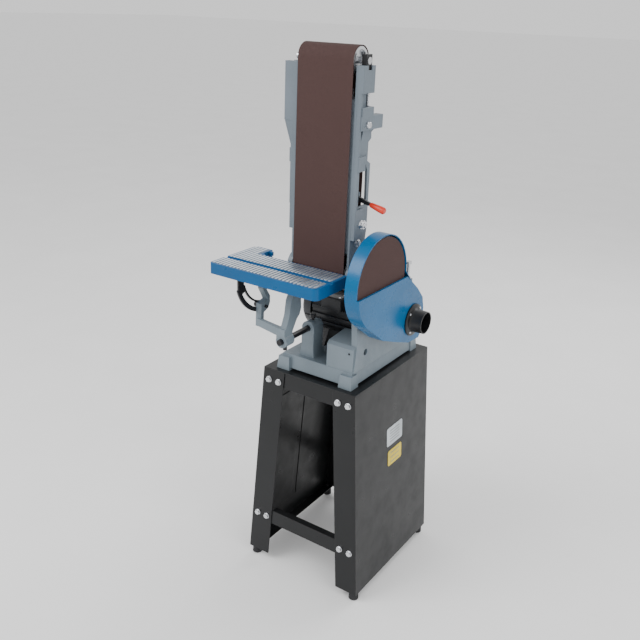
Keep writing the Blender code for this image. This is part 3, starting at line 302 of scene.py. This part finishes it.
MATS = {
    "stand": paint("stand_enamel", CHARCOAL, 0.34, 0.02, 0.12, wear=(0.05, 0.05, 0.055)),
    "cast": casting("cast_enamel", CAST_GREY),
    "arm": casting("arm_enamel", (0.140, 0.170, 0.200), 0.42),
    "table": paint("table_enamel", BLUE, 0.34, 0.04, 0.10, wear=(0.03, 0.15, 0.40)),
    "guard": paint("guard_enamel", GUARD_BLUE, 0.27, 0.06, 0.06, wear=(0.03, 0.19, 0.48)),
    "table_face": paint("table_groove_face", (0.12, 0.17, 0.24), 0.45, 0.0, 0.08),
    "table_rib": metal("table_ground_ribs", (0.80, 0.84, 0.88), 0.42, (1, 0.06, 1), 500.0),
    "motor": paint("motor_enamel", (0.022, 0.023, 0.026), 0.38, 0.15, 0.2, wear=(0.08, 0.08, 0.09)),
    "bell": paint("bell_enamel", (0.036, 0.038, 0.043), 0.42, 0.1, 0.2, wear=(0.10, 0.10, 0.11)),
    "zinc": metal("zinc_plate", ZINC, 0.26),
    "black_steel": paint("blackened_steel", BLACK, 0.34, 0.1, 0.1, wear=(0.12, 0.12, 0.13)),
    "platen": metal("ground_steel", (0.56, 0.57, 0.59), 0.32, (1, 1, 0.05), 500.0),
    # Near-black: painted shade for the inside of holes.
    "hole": plastic("hollow_shadow", (0.004, 0.004, 0.004), 0.8, 600.0, 0.1),
    "drive_drum": turned("drive_drum_face", (0.62, 0.63, 0.65), 0.30, "x", SPINDLE_AT),
    "idler_drum": turned("idler_drum_face", (0.72, 0.73, 0.75), 0.28, "x", IDLER_AT),
    "disc_plate": turned("disc_plate_face", (0.62, 0.64, 0.66), 0.30, "x", SPINDLE_AT),
    "grit": grit("abrasive_grit", GRIT_BROWN),
    "rubber": plastic("black_rubber", (0.016, 0.016, 0.018), 0.75, 500.0, 0.2),
    "port": plastic("port_plastic", (0.005, 0.005, 0.006), 0.36, 900.0, 0.1),
    "box": plastic("box_plastic", (0.018, 0.018, 0.020), 0.5, 900.0, 0.18),
    "grip": plastic("grip_plastic", (0.62, 0.028, 0.008), 0.36, 500.0, 0.06),
    "green": plastic("start_plastic", (0.01, 0.26, 0.06), 0.3, 500.0, 0.05),
    "red": plastic("stop_plastic", (0.55, 0.012, 0.012), 0.3, 500.0, 0.05),
    "iron": metal("pulley_iron", (0.24, 0.24, 0.25), 0.45, tarnish=0.3),
    "white_label": plastic("white_label_film", (0.48, 0.52, 0.55), 0.4, 900.0, 0.04),
    "yellow_label": plastic("yellow_label_film", (0.66, 0.50, 0.02), 0.4, 900.0, 0.04),
    "label_band": plastic("grey_label_band", (0.17, 0.18, 0.19), 0.45, 900.0, 0.04),
}

CAD_LOOKS = {
    "stand": ["stand_side_left", "stand_side_right", "stand_top", "stand_front_apron", "stand_front_rail",
              "stand_rear_apron", "stand_rear_rail"],
    "rubber": ["foot_front_left", "foot_front_right", "foot_rear_left", "foot_rear_right", "drive_belt"],
    "zinc": ["stop_bolt", "tilt_pin", "idler_axle", "spindle", "motor_shaft", "tension_spring",
             "bearing_left", "bearing_right", "tracking_screw"]
    + [f"stand_{place_}_bolt_{i}" for place_ in ("apron", "rail") for i in range(1, 5)],
    "black_steel": ["table_bar", "bar_set_screw", "tension_block", "bar_clamp_screw", "quadrant_lock_bolt",
                    "table_quadrant", "tension_lever"],
    "cast": ["base_casting", "spindle_pedestal", "table_bracket", "stop_bracket"],
    "arm": ["arm_frame"],
    "table": ["table"],
    "guard": ["disc_guard", "guard_cover"],
    "platen": ["platen"],
    "drive_drum": ["drive_drum"],
    "idler_drum": ["idler_drum"],
    "disc_plate": ["disc_plate"],
    "grit": ["abrasive_belt", "abrasive_disc"],
    "port": ["dust_port"],
    "box": ["switch_box"],
    "grip": ["lever_grip"],
    "green": ["start_button"],
    "red": ["stop_button"],
    "iron": ["spindle_pulley", "motor_pulley"],
    "motor": ["motor_body"],
    "bell": ["motor_end_bell"],
}


def smooth_group():
    """Merges the split vertices and shades smooth, except across edges sharper than 35 degrees."""
    group = bpy.data.node_groups.new("smooth_by_angle", "GeometryNodeTree")
    group.interface.new_socket("Geometry", in_out="INPUT", socket_type="NodeSocketGeometry")
    group.interface.new_socket("Geometry", in_out="OUTPUT", socket_type="NodeSocketGeometry")
    start = group.nodes.new("NodeGroupInput")
    end = group.nodes.new("NodeGroupOutput")
    merge = group.nodes.new("GeometryNodeMergeByDistance")
    merge.inputs["Distance"].default_value = 0.00001
    faces = group.nodes.new("GeometryNodeSetShadeSmooth")
    faces.domain = "FACE"
    edges = group.nodes.new("GeometryNodeSetShadeSmooth")
    edges.domain = "EDGE"
    edges.inputs["Shade Smooth"].default_value = False
    angle = group.nodes.new("GeometryNodeInputMeshEdgeAngle")
    sharp = group.nodes.new("FunctionNodeCompare")
    sharp.data_type = "FLOAT"
    sharp.operation = "GREATER_THAN"
    sharp.inputs["B"].default_value = math.radians(35)
    link = group.links.new
    link(start.outputs[0], merge.inputs["Geometry"])
    link(merge.outputs["Geometry"], faces.inputs["Geometry"])
    link(faces.outputs["Geometry"], edges.inputs["Geometry"])
    link(angle.outputs["Unsigned Angle"], sharp.inputs["A"])
    link(sharp.outputs["Result"], edges.inputs["Selection"])
    link(edges.outputs["Geometry"], end.inputs[0])
    return group


SMOOTH = smooth_group()


def smooth(obj):
    obj.modifiers.new("smooth", "NODES").node_group = SMOOTH
    return obj


def dress_cad_nodes():
    for look, names in CAD_LOOKS.items():
        for name in names:
            obj = NODES[name]
            obj.data.materials.clear()
            obj.data.materials.append(MATS[look])
            smooth(obj)


# ---------------------------------------------------------------- shapes

def piece(name, bm, look, body, bevel=0.0):
    mesh = bpy.data.meshes.new(name)
    bmesh.ops.recalc_face_normals(bm, faces=bm.faces)
    bm.to_mesh(mesh)
    bm.free()
    mesh.materials.append(MATS[look])
    obj = bpy.data.objects.new(name, mesh)
    bpy.context.scene.collection.objects.link(obj)
    if bevel:
        edge = obj.modifiers.new("edge", "BEVEL")
        edge.width = bevel
        edge.segments = 2
        edge.limit_method = "ANGLE"
    smooth(obj)
    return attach(obj, body)


def turn_to(direction):
    """The turn that takes +Z to the direction."""
    return Vector((0, 0, 1)).rotation_difference(Vector(direction)).to_matrix().to_4x4()


def add_prism(bm, outline, low, high, matrix=Matrix.Identity(4)):
    """A straight block over an outline of (x, y) points, from low to high in z, moved by the matrix."""
    floor = [bm.verts.new(matrix @ Vector((x, y, low))) for x, y in outline]
    roof = [bm.verts.new(matrix @ Vector((x, y, high))) for x, y in outline]
    bm.faces.new(floor[::-1])
    bm.faces.new(roof)
    for i in range(len(outline)):
        j = (i + 1) % len(outline)
        bm.faces.new((floor[i], floor[j], roof[j], roof[i]))


def add_box(bm, low, high):
    (x0, y0, z0), (x1, y1, z1) = low, high
    add_prism(bm, [(x0, y0), (x1, y0), (x1, y1), (x0, y1)], z0, z1)


def add_lathe(bm, at, direction, profile, count=32):
    """Rings of (radius, height) pairs turned round a line from the point along the direction."""
    matrix = Matrix.Translation(Vector(at)) @ turn_to(direction)
    rings = []
    for radius, height in profile:
        corners = []
        for i in range(count):
            a = 2 * math.pi * (i + 0.5) / count
            point = Vector((radius * math.cos(a), radius * math.sin(a), height))
            corners.append(bm.verts.new(matrix @ point))
        rings.append(corners)
    for lower, upper in zip(rings, rings[1:]):
        for i in range(count):
            j = (i + 1) % count
            bm.faces.new((lower[i], lower[j], upper[j], upper[i]))
    bm.faces.new(rings[0][::-1])
    bm.faces.new(rings[-1])


def add_hex_bolt(bm, at, direction, across, height, washer=True):
    """A washer, a hexagon head with a chamfered top, standing on the point."""
    base = 0.0
    if washer:
        thick = height * 0.22
        wide = across * 0.86
        add_lathe(bm, at, direction, [(wide, 0), (wide, thick * 0.7), (across * 0.82, thick)])
        base = thick * 0.9
    r = across / 2 / math.cos(math.pi / 6)
    add_lathe(bm, at, direction, [(r, base), (r, height * 0.88), (r * 0.84, height)], 6)


def add_screw(bm, at, direction, radius, height):
    """A pan-head screw."""
    profile = [(radius, 0), (radius, height * 0.45), (radius * 0.86, height * 0.8), (radius * 0.55, height)]
    add_lathe(bm, at, direction, profile, 20)


def add_ring(bm, at, direction, inner, outer, height, count=32):
    """A flat ring with a bevelled outer edge."""
    matrix = Matrix.Translation(Vector(at)) @ turn_to(direction)
    profile = [(inner, 0), (outer, 0), (outer, height * 0.6), (outer - height * 0.4, height), (inner, height)]
    rings = []
    for radius, level in profile:
        turns = [2 * math.pi * i / count for i in range(count)]
        points = [Vector((radius * math.cos(a), radius * math.sin(a), level)) for a in turns]
        rings.append([bm.verts.new(matrix @ point) for point in points])
    for lower, upper in zip(rings, rings[1:] + rings[:1]):
        for i in range(count):
            j = (i + 1) % count
            bm.faces.new((lower[i], lower[j], upper[j], upper[i]))


def rounded(w, h, r, steps=6):
    """A rounded rectangle's (x, y) outline about the origin."""
    points = []
    for cx, cy, start in ((w / 2 - r, h / 2 - r, 0), (-w / 2 + r, h / 2 - r, 90),
                          (-w / 2 + r, -h / 2 + r, 180), (w / 2 - r, -h / 2 + r, 270)):
        for i in range(steps + 1):
            a = math.radians(start + 90 * i / steps)
            points.append((cx + r * math.cos(a), cy + r * math.sin(a)))
    return points


# ---------------------------------------------------------------- details

def table_top():
    """The table's ground face: ribs along Y on two thin plates, with the slot between them."""
    low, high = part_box("table")
    top = high.z
    slot0, slot1 = low.y + SLOT_FRONT, low.y + SLOT_BACK
    left, right = low.x + 0.0025, high.x - 0.0075
    front, back = low.y + 0.0045, low.y + DEEP_PART - 0.003
    wing_right, wing_back = low.x + WING_WIDTH - 0.004, high.y - 0.004
    sheet = bmesh.new()
    front_strip = [(left, front), (right - 0.006, front), (right, front + 0.008), (right, slot0 - 0.001),
                   (left, slot0 - 0.001)]
    rear = [(left, slot1 + 0.001), (right, slot1 + 0.001), (right, back), (wing_right + 0.012, back),
            (wing_right, back + 0.010), (wing_right, wing_back), (left + 0.004, wing_back),
            (left, wing_back - 0.004)]
    for outline in (front_strip, rear):
        add_prism(sheet, outline, top - 0.0001, top + 0.0002)
    piece("table_ground_plate", sheet, "table_face", "table")
    ribs = bmesh.new()
    count = int((right - left) / RIB_PITCH)
    for i in range(count):
        x0 = left + (i + RIB_OFFSET) * RIB_PITCH
        x1 = x0 + RIB_PITCH * RIB_SHARE
        rear_end = wing_back - 0.002 if x1 < wing_right else back - 0.001
        for y0, y1 in ((front + 0.001, slot0 - 0.002), (slot1 + 0.002, rear_end)):
            if x1 > right - 0.004 and y0 < slot0:
                y0 += 0.006
            add_box(ribs, (x0, y0, top + 0.0001), (x1, y1, top + RIB_HEIGHT))
    piece("table_ribs", ribs, "table_rib", "table", 0.0002)
    lug = bmesh.new()
    x, y = low.x + WING_WIDTH, high.y - 0.011
    add_box(lug, (x - 0.0004, y - 0.004, top - 0.012), (x + 0.010, y + 0.004, top - 0.001))
    piece("table_wing_lug", lug, "table", "table", 0.0008)


def right_side_x(z):
    """How far out the right stand panel's outer face is at a height, from its own mesh box and slope."""
    low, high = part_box("stand_side_right")
    top_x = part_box("stand_top")[1].x
    share = (high.z - z) / (high.z - low.z)
    return top_x + (high.x - top_x) * share


def labels():
    """Two blank plates on the right stand panel, lying on its slope."""
    shift_y = (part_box("stand_top")[0].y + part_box("stand_top")[1].y) / 2
    slope = math.atan2(right_side_x(0.3) - right_side_x(0.6), 0.3)
    normal = Vector((math.cos(slope), 0, math.sin(slope)))
    up = Vector((-math.sin(slope), 0, math.cos(slope)))
    turn = Matrix((Vector((0, 1, 0)), up, normal)).transposed().to_4x4()
    for name, look, count, (y0, y1), (z0, z1) in LABELS:
        wide, tall = y1 - y0, z1 - z0
        y, z = (y0 + y1) / 2 + shift_y, (z0 + z1) / 2
        matrix = Matrix.Translation(Vector((right_side_x(z), y, z)) + normal * 0.0002) @ turn
        bm = bmesh.new()
        add_prism(bm, rounded(wide, tall, 0.006), 0, 0.0007, matrix)
        piece(name, bm, look, "frame")
        bands = bmesh.new()
        half, thick = wide * 0.62 / 2, 0.0011
        for i in range(count):
            v = tall * (0.30 - 0.60 * i / (count - 1))
            bar = [(-half, v - thick), (half, v - thick), (half, v + thick), (-half, v + thick)]
            add_prism(bands, bar, 0.0006, 0.0009, matrix)
        piece(name + "_bands", bands, "label_band", "frame")


def rear_bolts():
    """The eight bolts at the back of the stand, mirrored from those in front; the rail's have flat heads."""
    middle = (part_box("stand_top")[0].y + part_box("stand_top")[1].y) / 2
    bm = bmesh.new()
    for part in ("apron", "rail"):
        for i in range(1, 5):
            low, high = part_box(f"stand_{part}_bolt_{i}")
            seat = 2 * middle - (low.y + STAND_BOLT_HEAD)
            at = ((low.x + high.x) / 2, seat, (low.z + high.z) / 2)
            if part == "apron":
                add_hex_bolt(bm, at, (0, 1, 0), 0.012, 0.0052)
            else:
                add_screw(bm, at, (0, 1, 0), 0.0075, 0.0011)
    piece("stand_rear_bolts", bm, "zinc", "frame", 0.0002)


def pedestal_bolts():
    """The two bolts through the pedestal's foot."""
    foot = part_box("spindle_pedestal")[0]
    bm = bmesh.new()
    for y in (PEDESTAL_BOLT_Y0, PEDESTAL_BOLT_Y1):
        add_hex_bolt(bm, (PEDESTAL_BOLT_X, y, foot.z + 0.010), (0, 0, 1), 0.012, 0.008)
    piece("pedestal_foot_bolts", bm, "zinc", "frame", 0.0003)


def arm_bolts():
    """The bolts of the arm's right pivot block, and the bright stud in the notch under its head."""
    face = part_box("arm_frame")[1].x - ARM_FACE_INSET
    axis = SPINDLE_AT
    bm = bmesh.new()
    for out, y, z in PIVOT_BOLTS:
        add_hex_bolt(bm, (face + out, axis.y + y, axis.z + z), (1, 0, 0), 0.013, 0.007)
    piece("arm_pivot_bolts", bm, "zinc", "arm", 0.0003)
    stud = bmesh.new()
    floor, roof = IDLER_AT.z + NOTCH_FLOOR, IDLER_AT.z + NOTCH_ROOF
    at = (face + 0.0010, IDLER_AT.y + 0.0195, floor)
    turns = 12
    profile = [(0.0032, 0)]
    for i in range(turns):
        level = (roof - floor) * (i + 0.5) / turns
        profile += [(0.0044, level - 0.0009), (0.0044, level + 0.0003), (0.0032, level + 0.0010)]
    add_lathe(stud, at, (0, 0, 1), profile + [(0.0032, roof - floor)], 24)
    piece("arm_tension_stud", stud, "zinc", "arm")


def port_screws():
    """Four screws round the dust port's flange."""
    low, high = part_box("dust_port")
    y, z = (low.y + high.y) / 2, (low.z + high.z) / 2
    bm = bmesh.new()
    for degrees in (50, 140, 230, 320):
        a = math.radians(degrees)
        at = (low.x + 0.0070, y + PORT_SCREW_RING * math.cos(a), z + PORT_SCREW_RING * math.sin(a))
        add_screw(bm, at, (1, 0, 0), 0.0034, 0.0026)
    piece("dust_port_screws", bm, "zinc", "frame")


def motor_details():
    """The terminal box's lid with its screws."""
    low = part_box("motor_body")[0]
    top = (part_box("motor_end_bell")[0].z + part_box("motor_end_bell")[1].z) / 2 + 0.052
    x0, x1, y0, y1 = low.x + 0.0475, low.x + 0.1035, low.y + 0.002, low.y + 0.038
    lid = bmesh.new()
    middle = Matrix.Translation(((x0 + x1) / 2, (y0 + y1) / 2, top - 0.0002))
    add_prism(lid, rounded(x1 - x0, y1 - y0, 0.004), 0, 0.003, middle)
    piece("terminal_box_lid", lid, "motor", "frame", 0.0008)
    screws = bmesh.new()
    for x in (x0 + 0.006, x1 - 0.006):
        for y in (y0 + 0.006, y1 - 0.006):
            add_screw(screws, (x, y, top + 0.0027), (0, 0, 1), 0.0028, 0.0020)
    piece("terminal_box_screws", screws, "zinc", "frame")


def switch_details():
    """Bezels round the two push buttons and the screws at the box's corners."""
    low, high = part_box("switch_box")
    y = (low.y + high.y) / 2
    for name in ("start_button", "stop_button"):
        lower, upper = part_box(name)
        radius = (upper.y - lower.y) / 2 + BEZEL_GAP
        bm = bmesh.new()
        at = (low.x + 0.0002, y, (lower.z + upper.z) / 2)
        add_ring(bm, at, (-1, 0, 0), radius, radius + 0.0032, 0.0018)
        piece(name + "_bezel", bm, "zinc", "frame")
    bm = bmesh.new()
    for screw_y in (low.y + SWITCH_SCREW_INSET, high.y - SWITCH_SCREW_INSET):
        for z in (low.z + 0.014 + SWITCH_SCREW_INSET, high.z - SWITCH_SCREW_INSET):
            add_screw(bm, (low.x + 0.0002, screw_y, z), (-1, 0, 0), 0.0028, 0.0018)
    piece("switch_box_screws", bm, "zinc", "frame")


def block_hole():
    """The tapped hole beside the pedestal's spare bar socket, seen from the front, with painted shade inside.
    """
    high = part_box("spindle_pedestal")[1]
    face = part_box("base_casting")[0].y + 0.016
    at = (high.x - 0.016, face + 0.0002, high.z - 0.240)
    rim = bmesh.new()
    add_ring(rim, at, (0, -1, 0), 0.0030, 0.0056, 0.0008, 24)
    piece("pedestal_hole_rim", rim, "cast", "frame")
    # A thin near-black disc over the hole: painted shade for its dark inside.
    hole_shade_disc = bmesh.new()
    add_lathe(hole_shade_disc, at, (0, -1, 0), [(0.0032, 0), (0.0032, 0.0003)], 24)
    piece("pedestal_hole", hole_shade_disc, "hole", "frame")


# ---------------------------------------------------------------- stage

def place_camera():
    """The photograph's angle, from the camera's place and its three turns."""
    yaw, pitch, roll = (math.radians(v) for v in (CAMERA_YAW, CAMERA_PITCH, CAMERA_ROLL))
    ahead = Vector((-math.sin(yaw) * math.cos(pitch), math.cos(yaw) * math.cos(pitch), -math.sin(pitch)))
    right = Vector((math.cos(yaw), math.sin(yaw), 0))
    up = right.cross(ahead)
    right, up = right * math.cos(roll) + up * math.sin(roll), up * math.cos(roll) - right * math.sin(roll)
    data = bpy.data.cameras.new("camera")
    data.lens = CAMERA_LENS
    data.sensor_width = 36
    data.sensor_fit = "HORIZONTAL"
    cam = bpy.data.objects.new("camera", data)
    bpy.context.scene.collection.objects.link(cam)
    cam.matrix_world = Matrix.Translation(CAMERA_AT) @ Matrix((right, up, -ahead)).transposed().to_4x4()
    bpy.context.scene.camera = cam


def light_studio():
    """A white world and three soft square lamps aimed at the machine's middle."""
    world = bpy.data.worlds.new("studio")
    world.use_nodes = True
    world.node_tree.nodes["Background"].inputs["Color"].default_value = (1, 1, 1, 1)
    world.node_tree.nodes["Background"].inputs["Strength"].default_value = 1.0
    bpy.context.scene.world = world
    for name, at, power in LAMPS:
        light = bpy.data.lights.new(name, "AREA")
        light.shape = "SQUARE"
        light.size = LAMP_SIZE
        light.energy = power
        lamp = bpy.data.objects.new(name, light)
        bpy.context.scene.collection.objects.link(lamp)
        lamp.location = at
        lamp.rotation_euler = (Vector((0, 0, 0.8)) - Vector(at)).to_track_quat("-Z", "Y").to_euler()


def lay_floor():
    floor_mat, tree, shader = new_material("floor_paint", 0.7)
    tone = ramp(tree, noise(tree, 3.0, 3.0), [(0.3, grey(0.90)), (0.7, grey(0.93))])
    tree.links.new(tone, shader.inputs["Base Color"])
    bm = bmesh.new()
    corners = ((-1, -1), (1, -1), (1, 1), (-1, 1))
    bm.faces.new([bm.verts.new((x * FLOOR_REACH, y * FLOOR_REACH, 0)) for x, y in corners])
    mesh = bpy.data.meshes.new("floor")
    bm.to_mesh(mesh)
    bm.free()
    mesh.materials.append(floor_mat)
    floor = bpy.data.objects.new("floor", mesh)
    bpy.context.scene.collection.objects.link(floor)


def main():
    dress_cad_nodes()
    table_top()
    labels()
    rear_bolts()
    pedestal_bolts()
    arm_bolts()
    port_screws()
    motor_details()
    switch_details()
    block_hole()
    place_camera()
    light_studio()
    lay_floor()


main()
